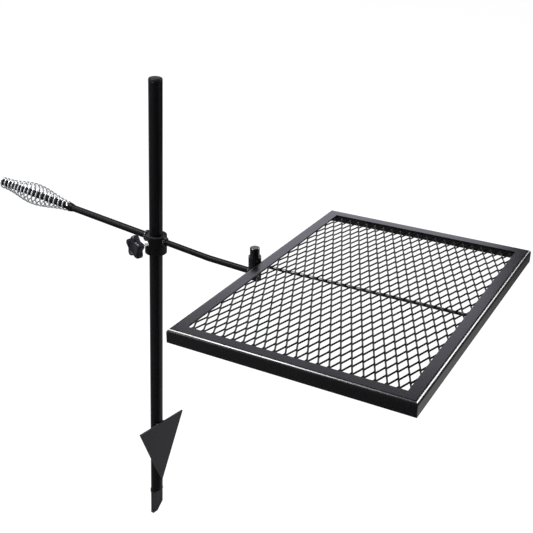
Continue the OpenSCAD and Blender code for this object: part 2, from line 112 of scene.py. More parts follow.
class GrillArm(bpy.types.PropertyGroup):
    """Sizes of the collar, the bars and the spring handle."""

    line: length("Bar line", "Height of the bars' line at the stake's axis", 0.3605)
    slope: angle("Slope", "Slope of the bars at the collar", 3.6)
    end_slope: angle("End slope", "Slope of the grate bar at the pin", 0.2)
    end_line: length("End line", "Height of the bar's line at the pin", 0.353786)
    lean: angle("Lean", "Lean of the pin and the grate back towards the stake", 3)
    bar_radius: length("Bar radius", "Radius of the grate bar", 0.005)
    handle_radius: length("Handle radius", "Radius of the handle bar", 0.00575)
    sleeve_radius: length("Sleeve radius", "Outside radius of the collar sleeve", 0.018)
    bead: length("Bead", "Radius of the weld beads at the collar", 0.0027)
    pin_base: length("Pin base", "Radius of the pin's base", 0.00998)
    pin_bead: length("Pin bead", "Radius of the weld bead at the pin", 0.0016)
    pivot: length("Pivot", "Distance of the pin from the stake's axis", 0.187)
    handle_at: length("Handle at", "Distance of the stop's face along the bar", 0.18)
    spring_length: length("Spring length", "Length of the spring handle", 0.152)
    curls: IntProperty(name="Curls", description="Number of curls in the spring", default=17, min=4)
    wire: length("Wire", "Diameter of the spring's wire", 0.0025)
    start: length("Start diameter", "Outside diameter of the spring at the stop", 0.018)
    middle: length("Middle diameter", "Outside diameter of the fattest curl", 0.038)
    end: length("End diameter", "Outside diameter of the last curl", 0.0205)
    middle_at: length("Middle at", "Distance of the fattest curl from the stop", 0.078)
    seat: length("Seat", "Gap between the wire's ends and what they rest on", 0.0003)


class GrillClamp(bpy.types.PropertyGroup):
    """Sizes of the clamp bolt and its knob."""

    height: length("Height", "Height of the bolt's axis", 0.357)
    turn: angle("Turn", "Direction of the bolt about the stake", -108.6)
    bolt_radius: length("Bolt radius", "Outside radius of the thread", 0.004)
    point_radius: length("Point radius", "Radius of the turned-down point", 0.00275)
    tip_at: length("Tip at", "Distance of the bolt's tip from the stake's axis", 0.01478)
    point_length: length("Point length", "Length of the turned-down point", 0.002)
    bolt_end: length("Bolt end", "Distance of the bolt's hidden end", 0.0428)
    lead: length("Lead", "Rise of the thread in one turn", 0.00125)
    thread_depth: length("Thread depth", "Depth of the thread", 0.00072)
    neck_at: length("Neck at", "Distance of the knob's neck from the stake's axis", 0.033)
    neck_length: length("Neck length", "Length of the knob's neck", 0.002)
    neck_radius: length("Neck radius", "Radius of the neck at its free end", 0.00858)
    neck_flare: length("Neck flare", "Widening of the neck towards the head", 0.002)
    bore: length("Bore", "Radius of the bore round the insert", 0.00613)
    bore_depth: length("Bore depth", "Depth of the bore from the neck's end", 0.01)
    head_radius: length("Head radius", "Radius of the knob over its lobes", 0.02)
    head_length: length("Head thickness", "Thickness of the knob's head", 0.0115)
    lobes: IntProperty(name="Lobes", description="Number of lobes on the knob", default=5, min=3)
    lobe_turn: angle("Lobe turn", "Turn of the lobes when the knob is home", 39)
    hollow: length("Hollow", "Depth of the hollow between two lobes", 0.0058)


class GrillMesh(bpy.types.PropertyGroup):
    """Sizes of the expanded metal."""

    middle: length("Middle", "Distance of the sheet's middle from the pivot's axis", 0.18503)
    rise: length("Rise", "Height of the strands' upper edge above the bar's end, along the pin", 0.0205)
    width: length("Width", "Width of the sheet across the grate", 0.3399)
    span: length("Length", "Length of the sheet along the grate", 0.4899)
    edge: length("Edge", "Width of the margin round the diamonds", 0.0025)
    short: length("Short pitch", "Pitch of the diamonds across the grate", 0.0153)
    long: length("Long pitch", "Pitch of the diamonds along the grate", 0.033)
    strand: length("Strand", "Width of a strand", 0.0023)
    gauge: length("Gauge", "Thickness of a strand", 0.0022)
    tilt: angle("Tilt", "Turn of each strand out of the sheet's plane", -60)
    bond: share("Bond", "Share of a strand's run that lies against its neighbour", 0.13)


class GrillLook(bpy.types.PropertyGroup):
    """Colours and roughness of the finishes."""

    coat: colour("Coat", "Colour of the black coat", (0.003, 0.003, 0.0038))
    coat_rough: share("Coat roughness", "Roughness of the black coat", 0.24)
    blade: colour("Blade", "Colour of the coat on the stake's blade", (0.0125, 0.0115, 0.0135))
    fin: colour("Fin", "Colour of the fin's duller coat", (0.006, 0.005, 0.009))
    fin_rough: share("Fin roughness", "Roughness of the fin's coat", 0.5)
    weld: colour("Weld", "Colour of the coated weld beads", (0.008, 0.008, 0.009))
    weld_rough: share("Weld roughness", "Roughness of the weld beads", 0.22)
    plastic: colour("Plastic", "Colour of the cap and the bush", (0.008, 0.008, 0.009))
    plastic_rough: share("Plastic roughness", "Roughness of the cap and the bush", 0.5)
    knob: colour("Knob", "Colour of the star knob", (0.004, 0.0036, 0.008))
    knob_rough: share("Knob roughness", "Roughness of the star knob", 0.38)
    zinc: colour("Zinc", "Colour of the bolt's plating", (0.9, 0.9, 0.92))
    zinc_rough: share("Zinc roughness", "Roughness of the bolt's plating", 0.34)
    chrome: colour("Chrome", "Colour of the spring's plating", (0.42, 0.43, 0.45))
    chrome_rough: share("Chrome roughness", "Roughness of the spring's plating", 0.22)


class GrillStage(bpy.types.PropertyGroup):
    """Camera, floor and lights."""

    eye: FloatVectorProperty(
        name="Eye", description="Place of the camera", default=(0.7861, -1.0898, 0.9821),
        size=3, precision=4, subtype="TRANSLATION",
    )
    azimuth: angle("Azimuth", "Turn of the camera about the vertical, from the Y axis", 27.992)
    elevation: angle("Elevation", "Angle by which the camera looks down", 26.398)
    roll: angle("Roll", "Turn of the camera about its line of sight", 3.277)
    lens: FloatProperty(
        name="Lens", description="Focal length in mm", default=60.8, subtype="DISTANCE_CAMERA"
    )
    floor: length("Floor", "Height of the floor", -0.2112)
    reach: length("Reach", "Half the width of the floor", 14.0)
    room: share("Room", "Level of the light from all round", 0.5)
    mirror: share("Mirror", "Level of the room and floor in reflections", 0.06)
    sweep: share("Sweep", "Level of the floor behind the grill in reflections", 0.5)
    whiteness: share("Whiteness", "How far the floor is lifted to white where it is seen", 0.93)


# Surfaces


def unit(vectors):
    """The vectors divided by their lengths, along the last axis."""
    return vectors / np.linalg.norm(vectors, axis=-1, keepdims=True)


def grid_faces(rows, columns, wrap_rows=False, wrap_columns=True):
    """Four-sided faces between the neighbours of a grid, as rows of vertex numbers."""
    i = np.arange(rows if wrap_rows else rows - 1)[:, None]
    k = np.arange(columns if wrap_columns else columns - 1)[None, :]
    down, right = (i + 1) % rows, (k + 1) % columns
    corners = [i * columns + k, i * columns + right, down * columns + right, down * columns + k]
    return np.stack(corners, axis=-1).reshape(-1, 4)


def end_faces(rows, columns):
    """The two end faces of a tube, each with as many sides as its rings."""
    first = np.arange(columns)[::-1]
    return np.stack([first, np.arange(columns) + (rows - 1) * columns])


def sweep(path, radius, reference, sides, closed=False):
    """Rings of a round tube along a path.

    Each ring is a circle in the plane square to the path's tangent. Its first axis is the reference
    direction less its share along the tangent, and its second is the tangent crossed with the first.
    """
    if closed:
        tangent = unit(np.roll(path, -1, axis=0) - np.roll(path, 1, axis=0))
    else:
        tangent = unit(np.gradient(path, axis=0))
    first = unit(reference - (reference * tangent).sum(-1, keepdims=True) * tangent)
    second = np.cross(tangent, first)
    turn = np.linspace(0, 2 * np.pi, sides, endpoint=False)[None, :, None]
    ring = np.cos(turn) * first[:, None, :] + np.sin(turn) * second[:, None, :]
    return path[:, None, :] + np.broadcast_to(radius, path.shape[:1])[:, None, None] * ring


def lumps(count, waves, seed):
    """A smooth random line between about -1 and 1 that closes on itself: a sum of seeded sines."""
    pick = np.random.default_rng(seed)
    turns = np.linspace(0, 2 * np.pi, count, endpoint=False)[:, None]
    orders = np.arange(1, waves + 1)[None, :]
    sines = np.sin(turns * orders + pick.uniform(0, 2 * np.pi, (1, waves)))
    return (sines * pick.uniform(0.4, 1, (1, waves))).sum(1) / math.sqrt(waves)


def rippled(count, ripples, depth, seed):
    """Radius shares of a weld bead.

    They rise from one less the depth to 1 over each ripple, by the sine's absolute value, and
    lumps of half that depth are added.
    """
    lump_share, waves = 0.5, 9
    turns = np.linspace(0, ripples, count, endpoint=False)
    scale = np.abs(np.sin(np.pi * turns))
    return 1 - depth + depth * scale + lump_share * depth * lumps(count, waves, seed)


def new_piece(name, parts, material, body, slot, *nodes):
    """Makes one mesh from (points, face arrays) parts and puts it in place of CAD nodes."""
    points, faces, base = [], [], 0
    for rings, groups in parts:
        flat = np.asarray(rings, float).reshape(-1, 3)
        points.append(flat)
        for group in groups:
            faces.extend((group + base).tolist())
        base += len(flat)
    mesh = bpy.data.meshes.new(name)
    mesh.from_pydata(np.concatenate(points).tolist(), [], faces)
    mesh.polygons.foreach_set("use_smooth", np.ones(len(mesh.polygons), bool))
    mesh.set_sharp_from_angle(angle=SMOOTH_BELOW)
    mesh.materials.append(material)
    piece = bpy.data.objects.new(name, mesh)
    bpy.context.scene.collection.objects.link(piece)
    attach(piece, body)
    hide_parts(*nodes)
    return piece


def tube_part(path, radius, reference, sides):
    """A tube with closed ends, as a part of a piece."""
    rings = sweep(path, radius, reference, sides)
    return rings, [grid_faces(len(path), sides), end_faces(len(path), sides)]


def hoop_part(path, radius, reference, sides):
    """A tube along a closed path, as a part of a piece."""
    rings = sweep(path, radius, reference, sides, closed=True)
    return rings, [grid_faces(len(path), sides, wrap_rows=True)]


def turned_part(profile, outline, axes, origin, sides):
    """A surface turned about an axis, as a part of a piece.

    Each profile row holds a radius, a place on the axis and a weight. A point's radius is the
    profile's, times the outline's share at its angle where the weight is 1 and plain where it is 0.
    """
    turn = np.linspace(0, 2 * np.pi, sides, endpoint=False)
    radius, place, weight = profile.T
    grown = radius[:, None] * (1 - weight[:, None] + weight[:, None] * outline(turn)[None, :])
    along = np.broadcast_to(place[:, None], grown.shape)
    local = np.stack([grown * np.cos(turn), grown * np.sin(turn), along], axis=-1)
    rings = local @ axes + origin
    return rings, [grid_faces(len(profile), sides), end_faces(len(profile), sides)]


def arc(centre, radius, start, stop, weight, count=9):
    """Profile rows along an arc, in degrees from the radius direction towards the axis."""
    turn = np.radians(np.linspace(start, stop, count))
    out = centre[0] + radius * np.cos(turn)
    along = centre[1] + radius * np.sin(turn)
    return np.stack([out, along, np.full(count, weight)], axis=1)


def handle_axes(slope):
    """Rows X, Y and Z of the handle's frame: Z runs outwards along the bar, X is up."""
    return np.array([
        [math.sin(slope), 0, math.cos(slope)],
        [0, 1, 0],
        [-math.cos(slope), 0, math.sin(slope)],
    ])


def lean_axes(lean):
    """Rows X, Y and Z of the pivot's frame: Z runs up the leaning pin, X along the grate."""
    return np.array([
        [math.cos(lean), 0, math.sin(lean)],
        [0, 1, 0],
        [-math.sin(lean), 0, math.cos(lean)],
    ])


def clamp_axes(turn):
    """Rows X, Y and Z of the bolt's frame: Z runs outwards along the bolt, X is down."""
    return np.array([
        [0, 0, -1],
        [-math.sin(turn), math.cos(turn), 0],
        [math.cos(turn), math.sin(turn), 0],
    ])


# Materials, with the scales of their noises per metre


class Shade:
    """A shader socket. Arithmetic on it adds Math nodes to its tree.

    One without a socket only adds nodes.
    """

    def __init__(self, tree, socket):
        self.tree = tree
        self.socket = socket

    def made(self, kind, settings, sockets, output=0):
        """Adds any other node: its settings are set first, then its sockets get values or links."""
        node = self.tree.nodes.new(kind)
        for key, value in settings.items():
            setattr(node, key, value)
        for key, value in sockets.items():
            if isinstance(value, Shade):
                self.tree.links.new(value.socket, node.inputs[key])
            else:
                node.inputs[key].default_value = value
        return Shade(self.tree, node.outputs[output])

    def maths(self, operation, first, second):
        """A Math node on two values or links."""
        return self.made("ShaderNodeMath", {"operation": operation}, {0: first, 1: second})

    def __add__(self, other):
        return self.maths("ADD", self, other)

    def __radd__(self, other):
        return self.maths("ADD", other, self)

    def __sub__(self, other):
        return self.maths("SUBTRACT", self, other)

    def __rsub__(self, other):
        return self.maths("SUBTRACT", other, self)

    def __mul__(self, other):
        return self.maths("MULTIPLY", self, other)

    def __rmul__(self, other):
        return self.maths("MULTIPLY", other, self)

    def over(self, edge, soft):
        """A mask that rises from 0 to 1 round an edge."""
        return self.made(
            "ShaderNodeMapRange", {"interpolation_type": "SMOOTHSTEP"},
            {"Value": self, "From Min": edge - soft, "From Max": edge + soft},
        )

    def noise(self, scale, detail=2.0, rough=0.5):
        """Noise at these coordinates, between 0 and 1."""
        return self.made(
            "ShaderNodeTexNoise", {"normalize": True},
            {"Vector": self, "Scale": scale, "Detail": detail, "Roughness": rough}, "Fac",
        )

    def blend(self, low, high):
        """A colour between two colours, by this value. Each is a constant or a link."""
        first, second = (end if isinstance(end, Shade) else (*end, 1) for end in (low, high))
        return self.made(
            "ShaderNodeMix", {"data_type": "RGBA"}, {"Factor": self, 6: first, 7: second}, 2
        )

    def bump(self, strength, distance):
        """A normal from this height."""
        return self.made(
            "ShaderNodeBump", {}, {"Strength": strength, "Distance": distance, "Height": self}
        )


def new_material(name, constants):
    """A Principled material with constant sockets.

    Gives the material, its shader and its Object coordinates.
    """
    material = bpy.data.materials.new(name)
    material.use_nodes = True
    tree = material.node_tree
    shader = tree.nodes["Principled BSDF"]
    for key, value in constants.items():
        shader.inputs[key].default_value = value
    place = Shade(tree, None).made("ShaderNodeTexCoord", {}, {}, "Object")
    return material, shader, place


def feed(shader, sockets):
    """Links varying values into a shader."""
    for key, value in sockets.items():
        value.tree.links.new(value.socket, shader.inputs[key])


def tinted(tone, factor):
    """A colour times a factor, kept below 1."""
    return tuple(min(1.0, part * factor) for part in tone)


def coat_material(name, tone, rough, peel, mottle, shine=0.5, foot=None):
    """Baked black coat: orange peel in the normal, and broad changes of sheen and tone.

    A foot gives a height and the colour that the coat has below it, with a short soft edge.
    """
    foot_soft = 0.002
    material, shader, place = new_material(name, {"Specular IOR Level": shine})
    broad = place.noise(16, 3)
    fine = place.noise(620, 3, 0.6)
    dust = place.noise(2400, 1).over(0.66, 0.05)
    colouring = (broad * 0.7 + dust * 0.5).blend(tinted(tone, 0.8), tinted(tone, 1.5))
    if foot:
        edge, low_tone = foot
        height = place.made("ShaderNodeSeparateXYZ", {}, {0: place}, "Z")
        colouring = height.over(edge, foot_soft).blend(low_tone, colouring)
    feed(shader, {
        "Base Color": colouring,
        "Roughness": rough + (broad - 0.5) * mottle + (fine - 0.5) * 0.08,
        "Normal": fine.bump(peel, 0.0002),
    })
    return material


def weld_material(name, tone, rough):
    """Coated weld metal: coarse grain, scale and paler ridges."""
    material, shader, place = new_material(name, {"Specular IOR Level": 0.5})
    coarse = place.noise(420, 4, 0.62)
    scale = place.noise(90, 2)
    feed(shader, {
        "Base Color": (coarse * 0.6 + scale * 0.4).blend(tinted(tone, 0.5), tinted(tone, 1.8)),
        "Roughness": rough + (coarse - 0.5) * 0.3,
        "Normal": coarse.bump(0.5, 0.0006),
    })
    return material


def plastic_material(name, tone, rough, grain, shine=0.35):
    """Moulded plastic: fine spark grain, and faint rubbed places."""
    material, shader, place = new_material(name, {"Specular IOR Level": shine})
    spark = place.noise(1500, 2, 0.6)
    rubbed = place.noise(60, 3)
    feed(shader, {
        "Base Color": rubbed.blend(tinted(tone, 0.8), tinted(tone, 1.25)),
        "Roughness": rough + (spark - 0.5) * 0.12 - rubbed.over(0.62, 0.08) * 0.06,
        "Normal": spark.bump(grain, 0.00015),
    })
    return material


def plating_material(name, tone, rough, spread, metal):
    """Bright plating, part satin: fine scratches and soft clouding in the sheen."""
    material, shader, place = new_material(name, {"Metallic": metal})
    cloud = place.noise(140, 3)
    scratch = place.noise(2600, 2, 0.7)
    feed(shader, {
        "Base Color": cloud.blend(tinted(tone, 0.9), tinted(tone, 1.04)),
        "Roughness": rough + (cloud - 0.5) * spread + (scratch - 0.5) * 0.08,
        "Normal": scratch.bump(0.05, 0.0001),
    })
    return material


def finishes():
    """The materials by their slots' names, made once and found again later."""
    look = bpy.context.scene.grill_look
    stake = bpy.context.scene.grill_stake
    foot = (stake.tip + stake.blade_length + stake.flatten / 2, tuple(look.blade))
    coat, rough = look.coat, look.coat_rough
    plastic, plastic_rough = look.plastic, look.plastic_rough
    makers = {
        "black_coat": lambda key: coat_material(key, coat, rough, peel=0.12, mottle=0.16),
        "collar_coat": lambda key: coat_material(key, coat, rough + 0.3, peel=0.2, mottle=0.16, shine=0.2),
        "bar_coat": lambda key: coat_material(key, coat, rough + 0.12, peel=0.15, mottle=0.16, shine=0.05),
        "stake_coat": lambda key: coat_material(
            key, coat, rough, peel=0.12, mottle=0.16, shine=0.22, foot=foot
        ),
        "fin_coat": lambda key: coat_material(key, look.fin, look.fin_rough, peel=0.2, mottle=0.16),
        "mesh_coat": lambda key: coat_material(key, coat, rough + 0.04, peel=0.2, mottle=0.2),
        "weld_bead": lambda key: weld_material(key, look.weld, look.weld_rough),
        "black_plastic": lambda key: plastic_material(key, plastic, plastic_rough, grain=0.2, shine=0.08),
        "bush_plastic": lambda key: plastic_material(key, plastic, plastic_rough + 0.08, grain=0.12),
        "knob_plastic": lambda key: plastic_material(key, look.knob, look.knob_rough, grain=0.16),
        "zinc_bolt": lambda key: plating_material(
            key, look.zinc, look.zinc_rough, spread=0.14, metal=0.4
        ),
        "spring_chrome": lambda key: plating_material(
            key, look.chrome, look.chrome_rough, spread=0.1, metal=0.6
        ),
    }
    made = {}
    for key, maker in makers.items():
        name = "finish " + key
        made[key] = bpy.data.materials.get(name) or maker(name)
    return made


def dress(slot, *nodes):
    """Puts a finish on CAD nodes that keep their shape."""
    material = finishes()[slot]
    for name in nodes:
        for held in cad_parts[name].material_slots:
            held.material = material


# Operators


class GRILL_OT_stake(bpy.types.Operator):
    """Builds the stake with its flattened foot, and finishes the cap, the fin and its welds"""

    bl_idname = "grill.stake"
    bl_label = "Stake"

    def execute(self, context):
        self.build_tube(context.scene.grill_stake)
        self.build_stitches(context.scene.grill_stake)
        dress("fin_coat", "anchor_fin")
        dress("black_plastic", "stake_cap")
        return {"FINISHED"}

    def build_tube(self, sizes):
        """The tube as one loft of superellipses.

        A section's half axes go from the tube's radius to the blade's half width and half thickness
        across the flattening, by a smooth step, and its exponent goes from 2, a circle, to 8, a
        rounded oblong. The two edges then come in along straight slants to a blunt tip that lies
        off the middle.
        """
        sides, shaft_rings, flat_rings, blade_rings, point_rings = 96, 24, 17, 8, 12
        top_gap, shaft_gap, crease_gap, point_gap, rounding = 0.02, 0.0012, 0.0006, 0.0005, 0.0004
        round_power, flat_power = 2, 8
        crease = sizes.tip + sizes.blade_length
        round_at = crease + sizes.flatten
        point_at = sizes.tip + sizes.point
        spare = (sizes.blade_width - sizes.tip_width) / 2
        long_cut, short_cut = spare + sizes.tip_shift, spare - sizes.tip_shift
        height = np.concatenate([
            [sizes.top, sizes.top - rounding],
            np.linspace(sizes.top - top_gap, round_at + shaft_gap, shaft_rings),
            np.linspace(round_at, crease, flat_rings),
            np.linspace(crease - crease_gap, point_at, blade_rings),
            np.linspace(point_at - point_gap, sizes.tip + point_gap, point_rings),
            [sizes.tip],
        ])
        flat = np.clip((round_at - height) / sizes.flatten, 0, 1)
        flat = flat * flat * (3 - 2 * flat)
        half = sizes.radius + (sizes.blade_width / 2 - sizes.radius) * flat
        slant = long_cut * (point_at - height) / sizes.point
        right = half - np.clip(slant, 0, long_cut)
        left = half - np.clip(slant - long_cut + short_cut, 0, short_cut)
        wide, centre = (right + left) / 2, (right - left) / 2
        thick = sizes.radius + (sizes.blade_gauge / 2 - sizes.radius) * flat
        rim = np.where((height == sizes.top) | (height == sizes.tip), rounding, 0)
        power = (2 / (round_power + (flat_power - round_power) * flat))[:, None]
        turn = np.linspace(0, 2 * np.pi, sides, endpoint=False)[None, :]
        cosine = np.sign(np.cos(turn)) * np.abs(np.cos(turn)) ** power
        sine = np.sign(np.sin(turn)) * np.abs(np.sin(turn)) ** power
        x = (thick - rim)[:, None] * cosine
        y = centre[:, None] - (wide - rim)[:, None] * sine
        c, s = math.cos(sizes.turn), math.sin(sizes.turn)
        z = np.broadcast_to(height[:, None], x.shape)
        rings = np.stack([c * x - s * y, s * x + c * y, z], axis=-1)
        faces = [grid_faces(len(height), sides), end_faces(len(height), sides)]
        coat = finishes()["stake_coat"]
        new_piece("stake", [(rings, faces)], coat, "stake", "black_coat", "stake_tube")

    def build_stitches(self, sizes):
        """Four rippled beads in the cusps between stake and fin: tubes that taper to both ends."""
        c, s = math.cos(sizes.turn), math.sin(sizes.turn)
        count, sides, ripples, ripple_depth, wander_waves = 90, 14, 11, 0.22, 5
        end_radius, behind_fin, wander, taper_power = 0.0003, 0.0014, 0.0004, 8
        along = np.linspace(0, 1, count)
        taper = 1 - (2 * along - 1) ** taper_power
        parts = []
        for seed, (side, start) in enumerate([(1, 0), (-1, 0), (1, -2), (-1, -2)]):
            ripple = rippled(count, ripples, ripple_depth, STITCH_RIPPLE_SEED + seed)
            radius = sizes.stitch_radius * ripple * taper + end_radius
            x = np.full(count, sizes.fin_face - behind_fin)
            y = side * (sizes.cusp + wander * lumps(count, wander_waves, STITCH_WANDER_SEED + seed))
            z = sizes.stitch * (start - along)
            path = np.stack([c * x - s * y, s * x + c * y, z], axis=1)
            parts.append(tube_part(path, radius, np.array([[c, s, 0.0]]), sides))
        new_piece("fin_beads", parts, finishes()["weld_bead"], "stake", "weld_bead", "fin_welds")


class GRILL_OT_arm(bpy.types.Operator):
    """Finishes the collar, the bars and the pin, and builds their rippled weld beads"""

    bl_idname = "grill.arm"
    bl_label = "Arm"

    def execute(self, context):
        sizes = context.scene.grill_arm
        dress("black_coat", "pivot_pin")
        dress("bar_coat", "handle_bar", "grate_bar", "handle_stop")
        dress("collar_coat", "collar_sleeve")
        dress("bush_plastic", "collar_bush")
        weld = finishes()["weld_bead"]
        start, end = (0, 0, sizes.line), (sizes.pivot, 0, sizes.end_line)
        sleeve, slope, bead = sizes.sleeve_radius, sizes.slope, sizes.bead
        collar = [
            self.bar_bead(sizes.handle_radius, -1, start, slope, sleeve, bead, seed=0),
            self.bar_bead(sizes.bar_radius, 1, start, slope, sleeve, bead, seed=1),
        ]
        new_piece("collar_beads", collar, weld, "arm", "weld_bead", "collar_welds")
        pin = self.bar_bead(
            sizes.bar_radius, -1, end, sizes.end_slope, sizes.pin_base, sizes.pin_bead, seed=5
        )
        new_piece("pin_bead", [pin], weld, "arm", "weld_bead", "pin_weld")
        return {"FINISHED"}

    def bar_bead(self, bar_radius, side, origin, slope, tube_radius, bead, seed):
        """A bead round a bar where it meets an upright tube.

        At each turn round the bar the joint lies where the bar's surface comes out of the tube's,
        and the bead's middle stands off that curve by a share of a bead along the bar and away from it.
        """
        count, sides, ripples, ripple_depth, wander_waves = 168, 16, 17, 0.2, 7
        off_bar, along_bar, wander_share = 0.35, 0.25, 0.12
        turn = np.linspace(0, 2 * np.pi, count, endpoint=False)
        axis = side * np.array([math.cos(slope), 0, -math.sin(slope)])
        up = np.array([math.sin(slope), 0, math.cos(slope)])
        across = np.array([0.0, 1.0, 0.0])
        radial = np.cos(turn)[:, None] * up + np.sin(turn)[:, None] * across
        surface = bar_radius * radial
        reach = np.sqrt(tube_radius ** 2 - surface[:, 1] ** 2)
        out = (reach - side * surface[:, 0]) / abs(axis[0])
        wander = wander_share * bead * lumps(count, wander_waves, BEAD_WANDER_SEED + seed)
        path = np.array(origin) + surface + out[:, None] * axis
        path = path + (off_bar * bead + wander)[:, None] * radial + (along_bar * bead) * axis
        radius = bead * rippled(count, ripples, ripple_depth, BEAD_RIPPLE_SEED + seed)
        return hoop_part(path, radius, axis[None, :], sides)


class GRILL_OT_spring(bpy.types.Operator):
    """Builds the barrel spring handle as a round wire"""

    bl_idname = "grill.spring"
    bl_label = "Spring handle"

    def execute(self, context):
        sizes = context.scene.grill_arm
        sides = 14
        axes = handle_axes(sizes.slope)
        origin = np.array([0, 0, sizes.line]) + sizes.handle_at * axes[2]
        turn, radius, place = self.wire_line(sizes)
        local = np.stack([radius * np.cos(turn), radius * np.sin(turn), place], axis=1)
        outward = np.stack([np.cos(turn), np.sin(turn), np.ones_like(turn)], axis=1)
        part = tube_part(local @ axes + origin, sizes.wire / 2, outward @ axes, sides)
        chrome = finishes()["spring_chrome"]
        new_piece("spring", [part], chrome, "arm", "spring_chrome", "spring_handle")
        return {"FINISHED"}

    def coil_radius(self, sizes, place):
        """Mean radius of the coil.

        It swells by a half cosine up to the fattest curl. Beyond it, it falls by another half cosine
        that is raised to a power.
        """
        fall_power = 1.4
        before = (1 - np.cos(np.pi * np.clip(place / sizes.middle_at, 0, 1))) / 2
        left = (sizes.spring_length - place) / (sizes.spring_length - sizes.middle_at)
        after = ((1 - np.cos(np.pi * np.clip(left, 0, 1))) / 2) ** fall_power
        wide = np.where(
            place < sizes.middle_at,
            sizes.start + (sizes.middle - sizes.start) * before,
            sizes.end + (sizes.middle - sizes.end) * after,
        )
        return wide / 2 - sizes.wire / 2

    def wire_line(self, sizes):
        """Turn, radius and place along the bar of the wire's middle line.

        The wire leaves the stop along the bar, bends round into the first curl, winds outwards with
        an even rise, and at the last curl bends in until it runs straight at the bar.
        """
        end_steps, curl_steps = 14, 44
        lead_angle, hook_angle = math.radians(58), math.radians(62)
        half = sizes.wire / 2
        first_at = 3 * half
        last_at = sizes.spring_length - half
        bend = np.linspace(0, 1, end_steps, endpoint=False)
        lead_turn = -lead_angle * (1 - bend ** 2)
        lead_place = sizes.seat + (first_at - sizes.seat) * (1 - (1 - bend) ** 2)
        wind = np.linspace(0, 1, sizes.curls * curl_steps + 1)
        wind_turn = 2 * np.pi * sizes.curls * wind
        wind_place = first_at + (last_at - first_at) * wind
        hook = np.linspace(0, 1, end_steps + 1)[1:]
        hook_turn = wind_turn[-1] + hook_angle * (1 - (1 - hook) ** 2)
        last_radius = self.coil_radius(sizes, wind_place[-1:])
        hook_end = sizes.handle_radius + sizes.seat
        turn = np.concatenate([lead_turn, wind_turn, hook_turn])
        radius = np.concatenate([
            np.repeat(self.coil_radius(sizes, wind_place[:1]), len(bend)),
            self.coil_radius(sizes, wind_place),
            last_radius + (hook_end - last_radius) * hook ** 2,
        ])
        place = np.concatenate([lead_place, wind_place, np.full(len(hook), last_at)])
        return turn, radius, place


